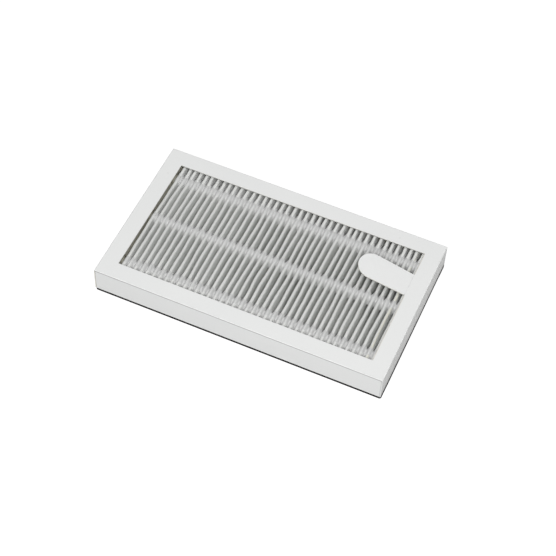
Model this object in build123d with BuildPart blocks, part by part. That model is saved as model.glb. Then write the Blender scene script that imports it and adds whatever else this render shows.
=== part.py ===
from build123d import *
from math import asin, atan, cos, floor, hypot, pi, radians, sin, tan
import os

# A pleated air filter cartridge: a folded sheet of filter paper, held open by lines of hot
# glue and potted into a shallow tray of white coated card, with a pull tab cut from the
# tray's window and a foam gasket under the rim. X runs along the cartridge with the tab at
# the +X end, Z points out of the front face, and the gasket's seat is at Z 0. Sizes in mm.

# Card tray, seen from the front
body_length = 137.0
body_width = 79.2
body_height = 12.6
board = 0.5
border = 8.0
crease_radius = 0.35
corner_seam = 0.1

# Pull tab, bent up along the window's edge
tab_length = 24.7
tab_root_width = 12.1
tab_end_radius = 6.5
tab_from_centre = 12.4
tab_lift = 11.7

# Rear tray, glued inside the front one
tray_clearance = 0.1
rim_clearance = 0.2

# Folded filter paper
pitch = 2.9875
paper = 0.45
fold_radius = 0.72
fold_facets = 6
left_glue = 1.05
least_right_glue = 1.5
side_glue = 1.2

# Lines of hot glue that hold the pleats apart
bead_far_inset = 13.3
bead_near_inset = 9.4
bead_middle = -0.5
bead_cap = 0.25
cap_clearance = 0.15
bead_dip = 0.7
cap_facets = 4
bead_depth = 4.6
bead_crown_width = 2.4
bead_foot_width = 6.0

# Foam gasket
gasket_thickness = 1.4
gasket_inset = 0.1
gasket_ledge = 1.0
gasket_corner_radius = 0.8

# Levels from the seat upwards
rear_face = gasket_thickness
front_face = rear_face + body_height
cavity_floor = rear_face + board
cavity_roof = front_face - board

# The rear tray's outside, the space inside it and the two windows
tray_length = body_length - 2 * (board + tray_clearance)
tray_width = body_width - 2 * (board + tray_clearance)
inner_length = tray_length - 2 * board
inner_width = tray_width - 2 * board
window_length = body_length - 2 * border
window_width = body_width - 2 * border

# The pleats' levels. Each leg runs straight from the round of one fold to that of the next
half_pitch = pitch / 2
inner_radius = fold_radius - paper
crest_z = cavity_roof - cap_clearance - bead_cap
trough_z = cavity_floor + cap_clearance + bead_cap
crest_centre = crest_z - fold_radius
trough_centre = trough_z + fold_radius
rise = crest_centre - trough_centre
lean = atan(half_pitch / rise) - asin((fold_radius + inner_radius) / hypot(half_pitch, rise))


def half_gap(radius, depth):
    """Half the width across a fold's legs, at a depth past the centre of its round."""
    return radius / cos(lean) + depth * tan(lean)


crease = half_gap(inner_radius, -inner_radius)
outer_foot = half_gap(fold_radius, crest_centre - trough_z)
inner_foot = half_gap(inner_radius, crest_centre - trough_z)

# Whole pleats only, from the left end's glue to as near the right end as they come
pack_width = inner_width - 2 * side_glue
first_crest = outer_foot + left_glue - inner_length / 2
pleats = 1 + floor((inner_length / 2 - least_right_glue - outer_foot - first_crest) / pitch)
crests = [first_crest + pitch * i for i in range(pleats)]
troughs = [x + half_pitch for x in crests[:-1]]

# The front tray: one die-cut card whose four walls are folded down from the front panel
tab_root = window_length / 2
tab_angle = radians(tab_lift)
tab_tip_x = tab_root - tab_length * cos(tab_angle)
tab_tip_z = front_face + tab_length * sin(tab_angle)
tab_plane = Plane(
    origin=(tab_root, tab_from_centre, front_face),
    x_dir=(-cos(tab_angle), 0, sin(tab_angle)),
    z_dir=(sin(tab_angle), 0, cos(tab_angle)),
)

with BuildPart() as pull_tab:
    with BuildSketch(Plane.XZ.offset(-tab_from_centre)):
        with BuildLine():
            Polyline(
                (tab_root, front_face),
                (tab_root, cavity_roof),
                (tab_root - board * tan(tab_angle / 2), cavity_roof),
                (tab_tip_x - board * sin(tab_angle), tab_tip_z - board * cos(tab_angle)),
                (tab_tip_x, tab_tip_z),
                close=True,
            )
        make_face()
    extrude(amount=tab_end_radius, both=True)
    with BuildSketch(tab_plane):
        with Locations((-board / 2, 0)):
            Rectangle(board, tab_root_width)
        with Locations((tab_length - tab_end_radius, 0)):
            Circle(tab_end_radius)
        make_hull()
    extrude(amount=2 * board, both=True, mode=Mode.INTERSECT)

with BuildPart() as front_frame:
    with BuildSketch(Plane.XY.offset(front_face)):
        Rectangle(body_length, body_width)
    extrude(amount=-body_height)
    fillet(front_frame.edges().group_by(Axis.Z)[-1], crease_radius)
    with BuildSketch(Plane.XY.offset(rear_face)):
        Rectangle(body_length - 2 * board, body_width - 2 * board)
    extrude(amount=body_height - board, mode=Mode.SUBTRACT)
    with BuildSketch(Plane.XY.offset(front_face)):
        Rectangle(window_length, window_width)
    extrude(amount=-board, mode=Mode.SUBTRACT)
    # The long walls butt against the end walls, with a hairline seam at each corner
    with BuildSketch(Plane.XY.offset(rear_face)):
        with GridLocations(body_length - 2 * board - corner_seam, body_width - board, 2, 2):
            Rectangle(corner_seam, board)
    extrude(amount=body_height - board, mode=Mode.SUBTRACT)
    add(pull_tab.part)
front_frame.part.label = "front_frame"

# The rear tray: a second card ring, its rim folded up and glued inside the front tray
with BuildPart() as rear_frame:
    with BuildSketch(Plane.XY.offset(rear_face)):
        Rectangle(tray_length, tray_width)
    extrude(amount=body_height - board - rim_clearance)
    with BuildSketch(Plane.XY.offset(cavity_floor)):
        Rectangle(inner_length, inner_width)
    extrude(amount=body_height, mode=Mode.SUBTRACT)
    with BuildSketch(Plane.XY.offset(rear_face)):
        Rectangle(window_length, window_width)
    extrude(amount=board, mode=Mode.SUBTRACT)
rear_frame.part.label = "rear_frame"


# The filter paper: one sheet folded to and fro, round outside each fold and creased inside
def fold_outside(x, centre, up):
    """Points over one fold's round, left to right. up is 1 at a crest and -1 at a trough."""
    turns = [lean + (pi - 2 * lean) * i / fold_facets for i in range(fold_facets + 1)]
    return [(x - fold_radius * cos(t), centre + up * fold_radius * sin(t)) for t in turns]


def fold_inside(x, centre, up):
    """The two corners of the crease pressed inside one fold, left to right."""
    return [(x + side * crease, centre + up * inner_radius) for side in (-1, 1)]


front_of_sheet = [(crests[0] - outer_foot, trough_z)]
back_of_sheet = [(crests[0] - inner_foot, trough_z)]
for x in crests:
    front_of_sheet += fold_outside(x, crest_centre, 1)
    back_of_sheet += fold_inside(x, crest_centre, 1)
    if x < crests[-1]:
        front_of_sheet += fold_inside(x + half_pitch, trough_centre, -1)
        back_of_sheet += fold_outside(x + half_pitch, trough_centre, -1)
front_of_sheet += [(crests[-1] + outer_foot, trough_z)]
back_of_sheet += [(crests[-1] + inner_foot, trough_z)]

with BuildPart() as pleated_media:
    with BuildSketch(Plane.XZ):
        with BuildLine():
            Polyline(*front_of_sheet, *reversed(back_of_sheet), close=True)
        make_face()
    extrude(amount=pack_width / 2, both=True)
pleated_media.part.label = "pleated_media"


def glue_bead(label, y, folds, fold_z, outward):
    """One line across the folds: a scalloped cap over each, and a wall down into each gap."""
    run = (len(folds) - 1) * pitch
    end = run / 2 + half_pitch
    steps = [i / cap_facets for i in range(len(folds) * cap_facets + 1)]
    scallops = [(i * pitch - end, bead_cap - bead_dip * (2 * (i % 1) - 1) ** 2) for i in steps]
    cap_gap = half_gap(fold_radius, -fold_radius)
    floor_gap = half_gap(fold_radius, bead_depth - fold_radius)
    fold_sides = [(-floor_gap, -bead_depth), (-cap_gap, 0), (cap_gap, 0), (floor_gap, -bead_depth)]
    under = [(i * pitch - run / 2 + x, z) for i in range(len(folds)) for x, z in fold_sides]
    across_folds = Plane(
        origin=((folds[0] + folds[-1]) / 2, y, fold_z), x_dir=(1, 0, 0), z_dir=(0, -outward, 0)
    )
    along_folds = Plane(origin=across_folds.origin, x_dir=(0, 1, 0), z_dir=(outward, 0, 0))
    with BuildPart() as bead:
        with BuildSketch(across_folds):
            with BuildLine():
                Polyline(
                    *scallops,
                    (end, -bead_depth),
                    *reversed(under),
                    (-end, -bead_depth),
                    close=True,
                )
            make_face()
        extrude(amount=bead_foot_width / 2, both=True)
        with BuildSketch(along_folds):
            with BuildLine():
                Polyline(
                    (-bead_crown_width / 2, bead_cap),
                    (bead_crown_width / 2, bead_cap),
                    (bead_foot_width / 2, -bead_depth),
                    (-bead_foot_width / 2, -bead_depth),
                    close=True,
                )
            make_face()
        extrude(amount=run / 2 + cap_gap, both=True, mode=Mode.INTERSECT)
    bead.part.label = label
    return bead.part


bead_lines = (
    ("far", pack_width / 2 - bead_far_inset),
    ("middle", bead_middle),
    ("near", bead_near_inset - pack_width / 2),
)
beads = [glue_bead(f"front_bead_{name}", y, crests, crest_z, 1) for name, y in bead_lines]
beads += [glue_bead(f"rear_bead_{name}", y, troughs, trough_z, -1) for name, y in bead_lines]


# The potting: hot melt between the rear tray's long walls and the cut ends of the pleats
def side_pot(label, side):
    with BuildPart() as pot:
        with BuildSketch(Plane.XY.offset(cavity_floor)):
            with Locations((0, side * (inner_width - side_glue) / 2)):
                Rectangle(inner_length, side_glue)
        extrude(amount=cavity_roof - cavity_floor)
    pot.part.label = label
    return pot.part


# The potting at each end, between the rear tray's end wall and the sheet's last leg
def end_pot(label, side, crest):
    wall = side * inner_length / 2
    with BuildPart() as pot:
        with BuildSketch(Plane.XZ):
            with BuildLine():
                Polyline(
                    (wall, cavity_floor),
                    (crest + side * outer_foot, cavity_floor),
                    (crest + side * outer_foot, trough_z),
                    (crest + side * half_gap(fold_radius, 0), crest_centre),
                    (wall, crest_centre),
                    close=True,
                )
            make_face()
        extrude(amount=pack_width / 2, both=True)
    pot.part.label = label
    return pot.part


pots = [
    side_pot("pot_far", 1),
    side_pot("pot_near", -1),
    end_pot("pot_left", -1, crests[0]),
    end_pot("pot_right", 1, crests[-1]),
]

# The gasket: four strips of black foam tape, the two short ones butted between the long
gasket_width = border - gasket_inset - gasket_ledge
gasket_length = body_length - 2 * gasket_inset
gasket_reach = body_width - 2 * gasket_inset
gasket_gap = gasket_reach - 2 * gasket_width


def gasket_strip(label, x, y, length, width):
    with BuildPart() as strip:
        with BuildSketch():
            RectangleRounded(gasket_length, gasket_reach, gasket_corner_radius)
            with Locations((x, y)):
                Rectangle(length, width, mode=Mode.INTERSECT)
        extrude(amount=gasket_thickness)
    strip.part.label = label
    return strip.part


strip_x = (gasket_length - gasket_width) / 2
strip_y = (gasket_reach - gasket_width) / 2
gaskets = [
    gasket_strip("gasket_far", 0, strip_y, gasket_length, gasket_width),
    gasket_strip("gasket_near", 0, -strip_y, gasket_length, gasket_width),
    gasket_strip("gasket_left", -strip_x, 0, gasket_width, gasket_gap),
    gasket_strip("gasket_right", strip_x, 0, gasket_width, gasket_gap),
]

pieces = [front_frame.part, rear_frame.part, pleated_media.part, *beads, *pots, *gaskets]
os.makedirs("parts", exist_ok=True)
for piece in pieces:
    export_step(piece, f"parts/{piece.label}.step")
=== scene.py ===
from math import cos, exp, pi, radians, sin, sqrt

import bpy
from mathutils import Matrix, Vector, noise


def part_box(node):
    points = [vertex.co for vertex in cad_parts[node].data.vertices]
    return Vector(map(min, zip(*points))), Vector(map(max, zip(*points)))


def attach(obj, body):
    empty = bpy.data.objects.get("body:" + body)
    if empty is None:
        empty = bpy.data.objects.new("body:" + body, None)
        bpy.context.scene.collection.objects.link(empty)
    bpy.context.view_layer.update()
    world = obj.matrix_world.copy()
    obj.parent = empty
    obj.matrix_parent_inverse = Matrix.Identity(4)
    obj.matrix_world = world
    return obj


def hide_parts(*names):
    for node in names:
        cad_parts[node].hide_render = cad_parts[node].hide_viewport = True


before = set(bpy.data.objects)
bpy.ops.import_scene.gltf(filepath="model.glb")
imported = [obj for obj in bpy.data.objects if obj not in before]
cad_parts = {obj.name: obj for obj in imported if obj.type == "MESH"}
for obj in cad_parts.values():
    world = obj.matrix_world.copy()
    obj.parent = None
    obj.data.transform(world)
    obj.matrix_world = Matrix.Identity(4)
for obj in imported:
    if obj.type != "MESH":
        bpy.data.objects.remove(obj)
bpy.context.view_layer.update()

# Camera. It stands in front of the panel's near long side, a little towards the tab's end,
# and looks down on it through a long lens, tipped by three degrees.
camera_turn, camera_height, camera_tip = radians(21.441), radians(53.297), radians(3.073)
camera_distance, camera_right, camera_up, camera_rise = 0.6969, 0.002817, -0.001211, 0.0014
backwards = Vector((
    sin(camera_turn) * cos(camera_height),
    -cos(camera_turn) * cos(camera_height),
    sin(camera_height),
))
level = Vector((cos(camera_turn), sin(camera_turn), 0))
steep = backwards.cross(level)
rightwards = cos(camera_tip) * level + sin(camera_tip) * steep
upwards = cos(camera_tip) * steep - sin(camera_tip) * level
camera_place = camera_distance * backwards + camera_right * rightwards + camera_up * upwards
camera_place.z += camera_rise
lens = bpy.data.cameras.new("camera")
lens.lens = 100
lens.sensor_width = 36
camera = bpy.data.objects.new("camera", lens)
axes = Matrix((rightwards, upwards, backwards)).transposed()
camera.matrix_world = Matrix.Translation(camera_place) @ axes.to_4x4()
bpy.context.scene.collection.objects.link(camera)
bpy.context.scene.camera = camera
bpy.context.scene.view_settings.view_transform = "Standard"


# Floor and lamps of a small product studio: a white floor without an edge in sight, a wide
# soft box above and in front of the panel, and a weaker one behind it.
class Wire:
    """A socket of a material's nodes. Arithmetic on it adds the Math nodes."""

    def __init__(self, socket):
        self.socket = socket

    def node(self, kind, settings=None, inputs=None, output=0):
        """Another node in the same material: its settings come first, then its inputs."""
        made = self.socket.id_data.nodes.new(kind)
        for name, value in (settings or {}).items():
            setattr(made, name, value)
        feed(made, inputs or {})
        return Wire(made.outputs[output])

    def maths(self, operation, *values):
        return self.node("ShaderNodeMath", {"operation": operation}, dict(enumerate(values)))

    def __add__(self, other):
        return self.maths("ADD", self, other)

    def __sub__(self, other):
        return self.maths("SUBTRACT", self, other)

    def __rsub__(self, other):
        return self.maths("SUBTRACT", other, self)

    def __mul__(self, other):
        return self.maths("MULTIPLY", self, other)

    def __abs__(self):
        return self.maths("ABSOLUTE", self)

    def __lt__(self, other):
        return self.maths("LESS_THAN", self, other)

    def __gt__(self, other):
        return self.maths("GREATER_THAN", self, other)

    __radd__ = __add__
    __rmul__ = __mul__

    def larger(self, other):
        return self.maths("MAXIMUM", self, other)

    def eased(self, low, high):
        """0 below low, 1 above high, with a soft change between. Low may be the larger."""
        return self.node(
            "ShaderNodeMapRange",
            {"interpolation_type": "SMOOTHSTEP"},
            {"Value": self, "From Min": low, "From Max": high},
        )

    def colour(self, without, full):
        """The first colour where this value is 0, and the second where it is 1."""
        inputs = {0: self, 6: without, 7: full}
        return self.node("ShaderNodeMix", {"data_type": "RGBA"}, inputs, 2)

    def axis(self, part):
        """One part of this vector."""
        return self.node("ShaderNodeSeparateXYZ", None, {0: self}, part)

    def vector_maths(self, operation, other, output):
        """This vector with another one."""
        settings = {"operation": operation}
        return self.node("ShaderNodeVectorMath", settings, {0: self, 1: other}, output)

    def mottle(self, per_mm, detail=2.0):
        """Soft noise from 0 to 1 over this place on the object, in mm."""
        inputs = {"Vector": self, "Scale": per_mm, "Detail": detail}
        return self.node("ShaderNodeTexNoise", None, inputs)

    def relief(self, strength, depth_mm):
        """The surface's normal with this value standing out of it as height."""
        inputs = {"Strength": strength, "Distance": depth_mm / 1000, "Height": self}
        return self.node("ShaderNodeBump", None, inputs)


def feed(node, inputs):
    """Gives a node's sockets their values or links."""
    for name, value in inputs.items():
        if isinstance(value, Wire):
            node.id_data.links.new(value.socket, node.inputs[name])
        else:
            node.inputs[name].default_value = value


def finish_start(name):
    """A new material, its shader, and the place on the object in mm."""
    material = bpy.data.materials.new(name)
    material.use_nodes = True
    shader = material.node_tree.nodes["Principled BSDF"]
    metres = Wire(shader.outputs[0]).node("ShaderNodeTexCoord", output="Object")
    return material, shader, metres.vector_maths("MULTIPLY", (1000, 1000, 1000), "Vector")


def new_piece(name, points_mm, faces, material):
    """A mesh object from points in mm."""
    mesh = bpy.data.meshes.new(name)
    mesh.from_pydata([(x / 1000, y / 1000, z / 1000) for x, y, z in points_mm], [], faces)
    mesh.validate()
    mesh.shade_smooth()
    mesh.materials.append(material)
    piece = bpy.data.objects.new(name, mesh)
    bpy.context.scene.collection.objects.link(piece)
    return piece


def seen_straight(start):
    """1 for what the camera sees, also by way of a gloss or through glass."""
    camera_ray, gloss_ray, glass_ray = (
        start.node("ShaderNodeLightPath", output=f"Is {kind} Ray")
        for kind in ("Camera", "Glossy", "Transmission")
    )
    return camera_ray.larger(gloss_ray).larger(glass_ray)


floor_reach, floor_drop, floor_glow = 3000, 0.05, 0.82
floor_grey, floor_behind_glow = (0.62, 0.62, 0.62, 1), (0.3, 0.3, 0.3, 1)
plain_white = (1, 1, 1, 1)
floor_white, floor_shader, place = finish_start("white_floor")
seen = seen_straight(place)
floor_colour = seen.colour(floor_grey, floor_behind_glow)
feed(floor_shader, {"Base Color": floor_colour, "Roughness": 0.9, "Specular IOR Level": 0})
glow_inputs = {"Color": plain_white, "Strength": seen * floor_glow}
glow = place.node("ShaderNodeEmission", None, glow_inputs)
both = place.node("ShaderNodeAddShader", None, {0: Wire(floor_shader.outputs[0]), 1: glow})
feed(floor_white.node_tree.nodes["Material Output"], {"Surface": both})
corners = ((-1, -1), (1, -1), (1, 1), (-1, 1))
floor_points = [(x * floor_reach, y * floor_reach, -floor_drop) for x, y in corners]
new_piece("floor", floor_points, [(0, 1, 2, 3)], floor_white)

sky_level = 0.377
world = bpy.data.worlds.new("studio")
bpy.context.scene.world = world
world.use_nodes = True
sky = world.node_tree.nodes["Background"]
seen = seen_straight(Wire(sky.outputs[0]))
feed(sky, {"Color": plain_white, "Strength": sky_level + seen * (1 - sky_level)})


def soft_box(name, towards, distance, size, level):
    """A square lamp. Level is the share of a white card's full brightness that it gives."""
    lamp = bpy.data.lights.new(name, "AREA")
    lamp.size = size
    lamp.energy = level * (pi * distance) ** 2
    holder = bpy.data.objects.new(name, lamp)
    direction = Vector(towards).normalized()
    holder.location = direction * distance
    holder.rotation_euler = direction.to_track_quat("Z", "Y").to_euler()
    bpy.context.scene.collection.objects.link(holder)


soft_box("soft_box_in_front", (0.16, -0.60, 0.78), 1.1, 0.7, 0.69)
soft_box("soft_box_behind", (0.05, 0.35, 0.93), 1.3, 0.7, 0.125)


# Front and rear tray: white clay-coated board, die cut and folded, the pull tab bent up out of
# the front one. The coating is satin, the folds are creased and the cut edges are bare.
body_length, body_width, front_z, rear_z = 137.0, 79.2, 14.0, 1.4
window_x, window_y = 60.5, 31.6
tab_lift, tab_y, tab_half_width = 11.7, 12.4, 6.5
board, mask_slack = 0.5, 0.02
crease_z, crease_half_width, edge_shade_half_width = 13.5, 0.23, 0.25
core_and_shadow_width, smudge_core = 0.3, 0.2
edge_shade_share, root_shade_share, smudge_share, end_wall_shade_share = 0.8, 0.12, 0.22, 0.45
window_edge_share, corner_share, core_and_shadow_share = 0.4, 0.55, 0.5
coating_dull, coating_bright = (0.785, 0.792, 0.788, 1), (0.815, 0.82, 0.812, 1)
# The first is painted shade for the creases and the far and left top edges, the second the bare
# core's own colour
crease_shade_grey, bare_board = (0.43, 0.43, 0.425, 1), (0.60, 0.555, 0.45, 1)
smudge_grey, shaded_foot = (0.35, 0.34, 0.32, 1), (0.5, 0.495, 0.48, 1)

# Each smudge's place in mm and its radius
smudges = (
    (-64.0, 24.7, 14.0, 0.8),
    (34.7, 33.6, 14.0, 0.35),
    (47.2, 35.1, 14.0, 0.7),
    (48.0, -39.6, 3.9, 0.5),
)


def thin_line(distance, half_width):
    """A soft-edged line where this distance is small."""
    return distance.eased(half_width * 1.5, half_width * 0.5)


def crease_shade_lines(place, on_wall):
    """Painted shade in the crease below the walls' top edge, along the far and left top edges, and in
    the tab's root.
    """
    x, y, z = (place.axis(part) for part in "XYZ")
    from_top = abs(front_z - z)
    wall_crease_shade = thin_line(abs(z - crease_z), crease_half_width)
    wall_crease_shade = wall_crease_shade * on_wall * (x < body_length / 2 - board)
    far_edge_shade = thin_line(body_width / 2 - y, edge_shade_half_width)
    left_edge_shade = thin_line(x + body_length / 2, edge_shade_half_width)
    edge_shade = far_edge_shade.larger(left_edge_shade) * (1 - on_wall) * (from_top < 0.1)
    root = abs(x - window_x).larger(abs(y - tab_y) - tab_half_width).larger(from_top)
    return wall_crease_shade.larger(edge_shade * edge_shade_share).larger(root.eased(0.3, 0.1) * root_shade_share)


def bare_edges_and_gap_shadow(place, facing):
    """Where the grey-brown core shows on the board's bare edges, and a line of it along the window's
    right edge beside the tab's root: the bare core, with painted shadow of the gap beneath it.
    """
    x, y, z = (place.axis(part) for part in "XYZ")
    tab_normal = (sin(radians(tab_lift)), 0, cos(radians(tab_lift)))
    flatness = abs(facing.vector_maths("DOT_PRODUCT", tab_normal, "Value"))
    in_window = (abs(x) < window_x + mask_slack) * (abs(y) < window_y + mask_slack)
    window_edge = in_window * (flatness < 0.6) * window_edge_share
    at_corner = (body_length / 2 - abs(x) < board) * (body_width / 2 - abs(y) < mask_slack)
    corner_edge = at_corner * (x < 0) * corner_share
    rear_edge = (facing.axis("Z") < -0.5) * (z < rear_z + mask_slack)
    # A line of the core's brown on the flange along the window's right edge: the bare core, with
    # painted shadow of the gap beneath it
    core_and_shadow_line = (x > window_x) * (x < window_x + core_and_shadow_width) * (abs(y) < window_y)
    core_and_shadow_line = core_and_shadow_line * (abs(y - tab_y) > tab_half_width) * core_and_shadow_share
    return window_edge.larger(corner_edge).larger(rear_edge).larger(core_and_shadow_line)


def smudged(place, colour):
    """This colour with the few small grey smudges of a part that was handled."""
    dirt = 0
    for *middle, radius in smudges:
        away = place.vector_maths("DISTANCE", middle, "Value")
        dirt = away.eased(radius, radius * smudge_core) * smudge_share + dirt
    return (dirt * place.mottle(1.5)).colour(colour, smudge_grey)


def coat(nodes, material):
    """Gives pieces of the frame their finish."""
    for node in nodes:
        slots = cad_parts[node].data.materials
        slots.clear()
        slots.append(material)


board_white, board_shader, place = finish_start("coated_board")
facing = place.node("ShaderNodeNewGeometry", output="Normal")
# Painted shade in the creases, and along the far and left top edges, which turn away from the lamps
crease_shade = crease_shade_lines(place, abs(facing.axis("Z")) < 0.5)
# The bare core on the board's edges, and the painted shadow line beside the tab's root
bare_core_and_gap_shadow = bare_edges_and_gap_shadow(place, facing)
coating = place.mottle(0.05, 3).colour(coating_dull, coating_bright)
colour = smudged(place, crease_shade.colour(bare_core_and_gap_shadow.colour(coating, bare_board), crease_shade_grey))
# Painted shade over the wall at the tab's end, which faces away from the lamps, deepening towards its
# foot
on_tab_end = place.axis("X") > body_length / 2 - 0.1
painted_end_wall_shade = on_tab_end * (place.axis("Z").eased(8, rear_z) * 0.65 + 0.35)
grain = place.mottle(5.0, 4)
feed(
    board_shader,
    {
        "Base Color": (painted_end_wall_shade * end_wall_shade_share).colour(colour, shaded_foot),
        "Roughness": 0.5 + bare_core_and_gap_shadow * 0.35 + grain * 0.1,
        "Specular IOR Level": 0.2,
        "Normal": grain.relief(0.12, 0.04),
    },
)
coat(("front_frame", "rear_frame"), board_white)

# Filter paper: one sheet of glass fibre paper folded to and fro, 44 pleats. The folds are
# round outside, wander a little between the lines of glue, and the paper is matt and soft.
pitch, fold_radius, crease_inside = 2.9875, 0.72, 0.27
crest_z, trough_z = 13.1, 2.3
first_crest, pleats, pack_half_width, sheet_end = -65.09, 44, 37.3, 0.5
fold_count = 2 * pleats - 1
rows, crest_steps, trough_steps, leg_steps = 42, 8, 5, 5
leg_swell, short_of_full = 0.12, 0.16
soaked_x, yellowed_x, yellowed_z = -60.1, 57.4, 12.2
wander_together, wander_alone, wander_close, trough_wander = 0.45, 0.42, 0.2, 2
paper_grey, paper_pale = (0.62, 0.627, 0.612, 1), (0.69, 0.697, 0.681, 1)
# Paper paler by the rims and deep between the folds: painted light
paper_lit_by_rim, paper_lit_deep = (0.735, 0.74, 0.727, 1), (0.78, 0.785, 0.77, 1)
paper_lit_deep_by_rim = (0.90, 0.905, 0.89, 1)
glue_soaked, yellowed_paper = (0.60, 0.575, 0.48, 1), (0.74, 0.72, 0.60, 1)

# Where the crests lean over, and the troughs the other way: middle along and across the
# panel, reach along and across it, and how far, in mm
leaning_patches = (
    (-53, 0, 12, 60, -0.22),
    (-25, 5, 8, 60, -0.16),
    (-2, 8, 10, 25, 0.22),
    (12, -15, 14, 18, 0.20),
    (38, -18, 10, 20, -0.26),
    (60.4, 0, 2.5, 90, -0.4),
    (-59.2, 0, 1.6, 90, 0.35),
)


def fold_place(fold, y):
    """Where a fold's middle is along the panel. Even folds are crests, odd ones troughs."""
    x = first_crest + pitch / 2 * fold
    free = min(1, fold / 4, (fold_count - 1 - fold) / 3)
    is_crest = fold % 2 == 0
    together = wander_together * noise.noise((x / 17, y / 34, 3.1))
    alone = wander_alone * noise.noise((fold * 0.83, y / 19, 9.7))
    alone += wander_close * noise.noise((fold * 1.31, y / 8, 5.2))
    lean = sum(
        amount * exp(-(((x - at_x) / reach_x) ** 2) - ((y - at_y) / reach_y) ** 2)
        for at_x, at_y, reach_x, reach_y, amount in leaning_patches
    )
    return x + free * (together + (alone + lean if is_crest else alone * trough_wander - lean))


def fold_height(fold, y):
    """How far a fold stops short of its full height."""
    return short_of_full * (1 + noise.noise((fold * 0.77, y / 25, 1.3)))


def fold_round(fold, y, radius):
    """Points round one fold on one side of the sheet, from its left leg to its right leg."""
    up = 1 if fold % 2 == 0 else -1
    steps = crest_steps if up > 0 else trough_steps
    middle = (crest_z if up > 0 else trough_z) - up * (fold_radius + fold_height(fold, y))
    turns = [pi * i / steps for i in range(steps + 1)]
    x = fold_place(fold, y)
    return [(x - radius * cos(t), middle + up * radius * sin(t)) for t in turns]


def leg(start, end, swell):
    """Points down one leg. It swells outwards below its fold, and in again above the next."""
    shares = [i / leg_steps for i in range(1, leg_steps)]
    return [
        (
            start[0] + (end[0] - start[0]) * share + swell * sin(2 * pi * share),
            start[1] + (end[1] - start[1]) * share,
        )
        for share in shares
    ]


def sheet_side(y, crest_radius, trough_radius):
    """One side of the sheet at one row, left to right."""
    side = []
    for fold in range(fold_count):
        is_crest = fold % 2 == 0
        points = fold_round(fold, y, crest_radius if is_crest else trough_radius)
        if side:
            side += leg(side[-1], points[0], -leg_swell if is_crest else leg_swell)
        side += points
    return [(side[0][0] - sheet_end, trough_z), *side, (side[-1][0] + sheet_end, trough_z)]


def faces_between(ring_count, size):
    """Faces that join closed rings of points to the next ring."""
    return [
        (i * size + k, i * size + (k + 1) % size, (i + 1) * size + (k + 1) % size, (i + 1) * size + k)
        for i in range(ring_count - 1)
        for k in range(size)
    ]


paper_points = []
for row in range(rows + 1):
    y = pack_half_width * (2 * row / rows - 1)
    front = sheet_side(y, fold_radius, crease_inside)
    back = sheet_side(y, crease_inside, fold_radius)
    paper_points += [(x, y, z) for x, z in front + back[::-1]]
ring = 2 * len(front)
paper_faces = faces_between(rows + 1, ring)
for start, turned in ((0, False), (rows * ring, True)):
    for k in range(len(front) - 1):
        edge = (start + k, start + ring - 1 - k, start + ring - 2 - k, start + k + 1)
        paper_faces.append(edge[::-1] if turned else edge)

paper_soft, paper_shader, place = finish_start("filter_paper")
x, y, z = (place.axis(part) for part in "XYZ")
fibre = place.vector_maths("MULTIPLY", (1, 0.25, 1), "Vector").mottle(3.2, 4)

# Painted light: paler towards the far and near rims and deep between the folds, palest deep by the
# rims. Stained beside the potting
painted_rim_light = y.eased(18, 28).larger(y.eased(-14, -32) * 0.85)
painted_light_deep_by_rim = y.eased(20, 28).larger(y.eased(-4, -22) * 0.5)
painted_light_deep = z.eased(11.5, 7.5)
colour = place.mottle(0.09, 2).colour(paper_grey, paper_pale)
colour = painted_rim_light.colour(colour, paper_lit_by_rim)
colour = (painted_light_deep * 0.8).colour(colour, paper_lit_deep)
colour = (painted_light_deep * painted_light_deep_by_rim).colour(colour, paper_lit_deep_by_rim)
colour = (x.eased(soaked_x + 0.2, soaked_x - 0.2) * 0.8).colour(colour, glue_soaked)
yellowed = abs(x - yellowed_x - place.mottle(0.12)).eased(1.0, 0.5) * (z > yellowed_z)
feed(
    paper_shader,
    {
        "Base Color": (yellowed * 0.5).colour(colour, yellowed_paper),
        "Roughness": 0.95,
        "Specular IOR Level": 0.15,
        "Normal": fibre.relief(0.35, 0.06),
    },
)
media = new_piece("filter_paper_pleats", paper_points, paper_faces, paper_soft)
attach(media, "root")
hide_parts("pleated_media")

# Glue beads: hot melt laid in three lines across the pleats on each side. It caps each fold
# with a small bulb, dips over the gap between two folds, and runs down the legs. At the left
# end, beside the first pleat, it is darker and olive.
bead_cap, bead_depth, bead_shift, bead_waver = 0.25, 4.6, 0.6, 0.35
bead_crest_reach, bead_gap_reach, bead_leg_reach = 2.4, 2.5, 1.3
bead_thin_edge, bead_widening, bead_unevenness = 0.06, 3.0, 0.12
bead_sunk, bead_under_crest, bead_under_gap = 0.08, 0.2, 0.05
gap_from_fold, shoulder_middle, shoulder_growth = 0.86, 0.2, 0.3
bead_rings_over, bead_rings_between, across_steps = 8, 6, 12
glue_dull, glue_milky = (0.60, 0.603, 0.598, 1), (0.64, 0.643, 0.636, 1)
glue_darker_olive = (0.33, 0.32, 0.265, 1)

# Each row: its place across the panel, how far it runs to its far and near side, and how
# deep it dips between two folds
bead_rows = {
    "far": (24.0, 1.9, 0.75, 1.3),
    "middle": (-0.4, 1.35, 0.75, 1.35),
    "near": (-27.5, 1.2, 1.35, 1.7),
}


def closed_skin(ring_count, size):
    """Faces between rings of points, and one over each end."""
    last_ring = (ring_count - 1) * size
    ends = [tuple(range(size))[::-1], tuple(range(last_ring, last_ring + size))]
    return faces_between(ring_count, size) + ends


def bead_ring(across, along, top_of, reaches, floor):
    """One slice of a bead, near to far over its top and back underneath it."""
    ring = []
    for k in range(across_steps + 1):
        share = sin(pi / 2 * (2 * k / across_steps - 1))
        aside = share * reaches[share > 0]
        ring.append((along(aside), across + aside, top_of(share)))
    for share in (0.7, 0, -0.7):
        aside = share * reaches[share > 0]
        ring.append((along(aside), across + aside, floor))
    return ring


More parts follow.
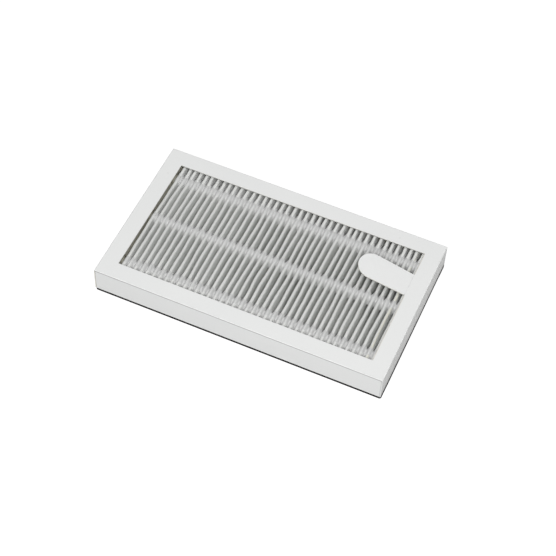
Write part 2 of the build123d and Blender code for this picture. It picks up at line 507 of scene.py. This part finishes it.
def bead_over_fold(fold, across, fullness, filled_to, face_z, outward):
    """Slices of a bead over one fold: a cap that bulges in the middle of the line."""
    reach = bead_crest_reach * (1 + 1.2 * fullness)
    rings = []
    for step in range(bead_rings_over + 1):
        turn = pi * (step / bead_rings_over - 0.5)
        past_middle = fold_radius * sin(turn)
        paper_at = fold_radius * (cos(turn) - 1) - fold_height(fold, across)
        full = min(filled_to(past_middle), bead_cap)
        edge = bead_thin_edge * sin(turn)

        def top_of(share):
            swell = (1 - share * share) ** 1.5
            return face_z + outward * (paper_at - bead_sunk + (full - paper_at + bead_sunk) * swell)

        def along(aside):
            swell = (1 - min(1, (aside / reach) ** 2)) ** 1.5
            return fold_place(fold, across + aside) + past_middle + edge * (bead_widening * swell - 1)

        floor = face_z + outward * (paper_at - bead_under_crest)
        rings.append(bead_ring(across, along, top_of, (reach, reach), floor))
    return rings


def bead_between_folds(fold, across, shares, filled_to, face_z, outward):
    """Slices of a bead in the gap after a fold: level in the middle, then down the legs."""
    rings = []
    for step in range(bead_rings_between + 1):
        side = 2 * step / bead_rings_between - 1
        full = filled_to(pitch / 2 + side * (pitch / 2 - gap_from_fold))
        reach = bead_gap_reach + bead_leg_reach * abs(side) ** 1.3
        shoulder = shoulder_middle + shoulder_growth * abs(side)

        def top_of(share):
            fall = max(0, (abs(share) - shoulder) / (1 - shoulder)) ** 1.6
            return face_z + outward * (full - fall * (bead_depth + full))

        def along(aside):
            left = fold_place(fold, across + aside) + gap_from_fold
            right = fold_place(fold + 2, across + aside) - gap_from_fold
            return (left + right) / 2 + side * (right - left) / 2

        reaches = [reach * share for share in shares]
        floor = face_z - outward * (bead_depth + bead_under_gap)
        rings.append(bead_ring(across, along, top_of, reaches, floor))
    return rings


def glue_line(name, row_y, far_share, near_share, dip, first, outward):
    """One line of glue over every second fold, closed at both ends."""
    face_z = crest_z if outward > 0 else trough_z
    rings = []
    for fold in range(first, fold_count, 2):
        x = first_crest + pitch / 2 * fold
        across = row_y + bead_shift + bead_waver * noise.noise((x / 13, row_y, 2.2))
        fullness = bead_unevenness * noise.noise((fold * 0.9, row_y, 4.4))
        low = fold_height(fold, across)

        def filled_to(aside):
            return bead_cap - dip * (1 - cos(2 * pi * aside / pitch)) / 2 + fullness - low / 2

        rings += bead_over_fold(fold, across, fullness, filled_to, face_z, outward)
        if fold + 2 < fold_count:
            shares = (near_share, far_share)
            rings += bead_between_folds(fold, across, shares, filled_to, face_z, outward)
    points = [point for one in rings for point in one]
    faces = closed_skin(len(rings), len(rings[0]))
    if outward > 0:
        faces = [face[::-1] for face in faces]
    return new_piece(name, points, faces, glue_white)


glue_white, glue_shader, place = finish_start("hot_glue")
cloud = place.mottle(0.5, 2)
# Darker and olive at the left end, beside the first pleat
glue_left_end_darker = place.axis("X").eased(-59.8, -60.2)
feed(
    glue_shader,
    {
        "Base Color": glue_left_end_darker.colour(cloud.colour(glue_dull, glue_milky), glue_darker_olive),
        "Roughness": 0.45 + cloud * 0.15,
        "Specular IOR Level": 0.3,
        "Normal": place.mottle(1.2, 2).relief(0.06, 0.1),
    },
)
for side, first, outward in (("front", 0, 1), ("rear", 1, -1)):
    for row, row_sizes in bead_rows.items():
        bead = glue_line(f"glue_line_{side}_{row}", *row_sizes, first, outward)
        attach(bead, "root")
        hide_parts(f"{side}_bead_{row}")

# Potting: pale amber hot melt between the rear tray's walls and the pack's four sides, where
# it sets with a soft skin. It shows as a thin line beside the first pleat.
amber_deep, amber_pale = (0.50, 0.46, 0.34, 1), (0.62, 0.58, 0.46, 1)
potting_amber, potting_shader, place = finish_start("potting_glue")
cloud = place.mottle(0.35, 3)
feed(
    potting_shader,
    {
        "Base Color": cloud.colour(amber_deep, amber_pale),
        "Roughness": 0.35 + cloud * 0.2,
        "Normal": place.mottle(0.8, 2).relief(0.5, 0.2),
    },
)
coat(("pot_far", "pot_near", "pot_left", "pot_right"), potting_amber)

# Gasket: four strips of black closed-cell foam tape stuck round the rear rim, the two long
# ones die cut with rounded corners. Their cut sides bulge a little and show fine cells.
foam_rise, foam_corner, foam_bulge, foam_edge = 1.4, 0.8, 0.1, 0.06
foam_overhang, foam_overhang_loss, foam_unevenness = 0.3, 0.35, 0.02
foam_stations, foam_side_steps = 60, 4
cell_wall, cell_hollow = (0.012, 0.0105, 0.01, 1), (0.005, 0.0045, 0.004, 1)
foam_black, foam_shader, place = finish_start("black_foam")
cells = place.node("ShaderNodeTexVoronoi", None, {"Vector": place, "Scale": 3.2})
pores = cells.eased(0.1, 0.6)
feed(
    foam_shader,
    {
        "Base Color": pores.colour(cell_wall, cell_hollow),
        "Roughness": 0.85 + pores * 0.1,
        "Specular IOR Level": 0.06,
        "Normal": pores.relief(0.6, 0.12),
    },
)


def foam_strip(name, node, along_x):
    """One strip of tape, from one end to the other. The one by the tab stands out a little."""
    low, high = (1000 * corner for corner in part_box(node))
    start, end = (low.x, high.x + foam_overhang) if along_x else (low.y, high.y)
    edges = (low.y, high.y) if along_x else (low.x, high.x)
    overhang = foam_overhang if low.x > 0 and not along_x else 0
    points = []
    for station in range(foam_stations + 1):
        at = start + (end - start) * (1 - cos(pi * station / foam_stations)) / 2
        past = foam_corner - max(0, min(foam_corner, at - start, end - at)) if along_x else 0
        turned_in = foam_corner - sqrt(foam_corner ** 2 - past ** 2)
        hangs_out = overhang * (1 - foam_overhang_loss * (at - start) / (end - start))
        for edge, far_edge in (edges, edges[::-1]):
            outwards = 1 if edge > far_edge else -1
            is_outside = abs(edge) > abs(far_edge)
            uneven = foam_unevenness * (1 + noise.noise((at / 9, edge, 1.7)))
            for step in range(foam_side_steps + 1):
                height = foam_rise * step / foam_side_steps
                if edge < far_edge:
                    height = foam_rise - height
                between = 0 < step < foam_side_steps
                bulge = foam_bulge * (1 - uneven) if between else foam_bulge - foam_edge
                across = edge + outwards * (bulge + hangs_out - turned_in if is_outside else 0)
                points.append((at, across, height) if along_x else (across, at, height))
    faces = closed_skin(foam_stations + 1, 2 * (foam_side_steps + 1))
    if not along_x:
        faces = [face[::-1] for face in faces]
    strip = new_piece(name, points, faces, foam_black)
    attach(strip, "root")
    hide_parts(node)


for side in ("far", "near", "left", "right"):
    foam_strip(f"foam_strip_{side}", f"gasket_{side}", side in ("far", "near"))
